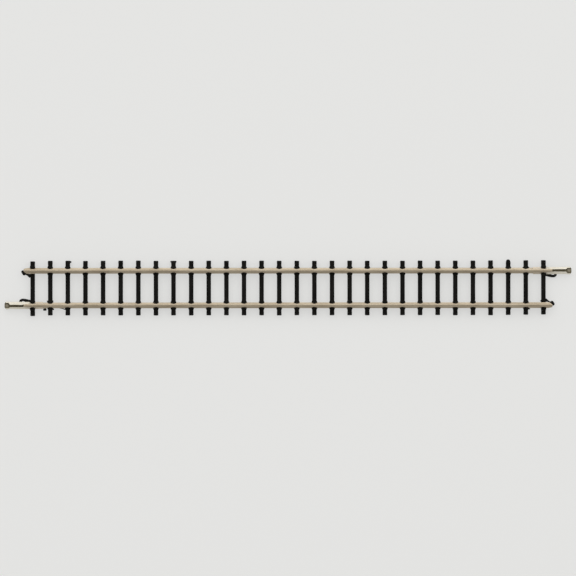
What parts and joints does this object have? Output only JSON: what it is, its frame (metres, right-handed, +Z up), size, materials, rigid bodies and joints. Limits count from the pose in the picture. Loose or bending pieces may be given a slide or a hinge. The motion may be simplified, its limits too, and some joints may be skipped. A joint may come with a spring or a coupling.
{
  "type": "model track section",
  "caption": "Straight section of miniature railway track: two metal rails in the clips of a black moulded sleeper strip, with a rail joiner and snap fingers at each end.",
  "frame": {"origin": "on the surface that the sleepers stand on, under the middle of the track in length and width", "axes": "X runs along the rails, Y across them, +Z up towards the running surface; a half turn about Z brings the section onto itself"},
  "size_m": [0.118, 0.0114, 0.0026],
  "materials": {
    "rail_metal": "bright drawn nickel silver, slightly tarnished at the foot",
    "joiner_metal": "pressed nickel silver sheet, satin",
    "sleeper_plastic": "black moulded plastic with fine wood grain on the sleeper tops"
  },
  "bodies": {
    "track": {"sleeper_01": "sleeper_plastic", "sleeper_02": "sleeper_plastic", "sleeper_03": "sleeper_plastic", "sleeper_04": "sleeper_plastic", "sleeper_05": "sleeper_plastic", "sleeper_06": "sleeper_plastic", "sleeper_07": "sleeper_plastic", "sleeper_08": "sleeper_plastic", "sleeper_09": "sleeper_plastic", "sleeper_10": "sleeper_plastic", "sleeper_11": "sleeper_plastic", "sleeper_12": "sleeper_plastic", "sleeper_13": "sleeper_plastic", "sleeper_14": "sleeper_plastic", "sleeper_15": "sleeper_plastic", "sleeper_16": "sleeper_plastic", "sleeper_17": "sleeper_plastic", "sleeper_18": "sleeper_plastic", "sleeper_19": "sleeper_plastic", "sleeper_20": "sleeper_plastic", "sleeper_21": "sleeper_plastic", "sleeper_22": "sleeper_plastic", "sleeper_23": "sleeper_plastic", "sleeper_24": "sleeper_plastic", "sleeper_25": "sleeper_plastic", "sleeper_26": "sleeper_plastic", "sleeper_27": "sleeper_plastic", "sleeper_28": "sleeper_plastic", "sleeper_29": "sleeper_plastic", "sleeper_30": "sleeper_plastic", "link_bars_front": "sleeper_plastic", "link_bars_rear": "sleeper_plastic", "catch_finger_left": "sleeper_plastic", "catch_finger_right": "sleeper_plastic", "rail_front": "rail_metal", "rail_rear": "rail_metal"},
    "joiner_left": {"joiner_left": "joiner_metal"},
    "joiner_right": {"joiner_right": "joiner_metal"},
    "latch_hook_left": {"latch_hook_left": "sleeper_plastic"},
    "latch_hook_right": {"latch_hook_right": "sleeper_plastic"}
  },
  "joints": [
    {"name": "joiner_slide_left", "type": "slide", "parent": "track", "child": "joiner_left", "axis": [-1, 0, 0], "range_m": [0, 0.0042]},
    {"name": "joiner_slide_right", "type": "slide", "parent": "track", "child": "joiner_right", "axis": [1, 0, 0], "range_m": [0, 0.0042]},
    {"name": "hook_flex_left", "type": "hinge", "parent": "track", "child": "latch_hook_left", "pos_m": [-0.05374, -0.00284, 0], "axis": [0, 0, -1], "range_deg": [-4, 9], "stiffness_Nm_per_rad": 0.009},
    {"name": "hook_flex_right", "type": "hinge", "parent": "track", "child": "latch_hook_right", "pos_m": [0.05374, 0.00284, 0], "axis": [0, 0, -1], "range_deg": [-4, 9], "stiffness_Nm_per_rad": 0.009}
  ]
}
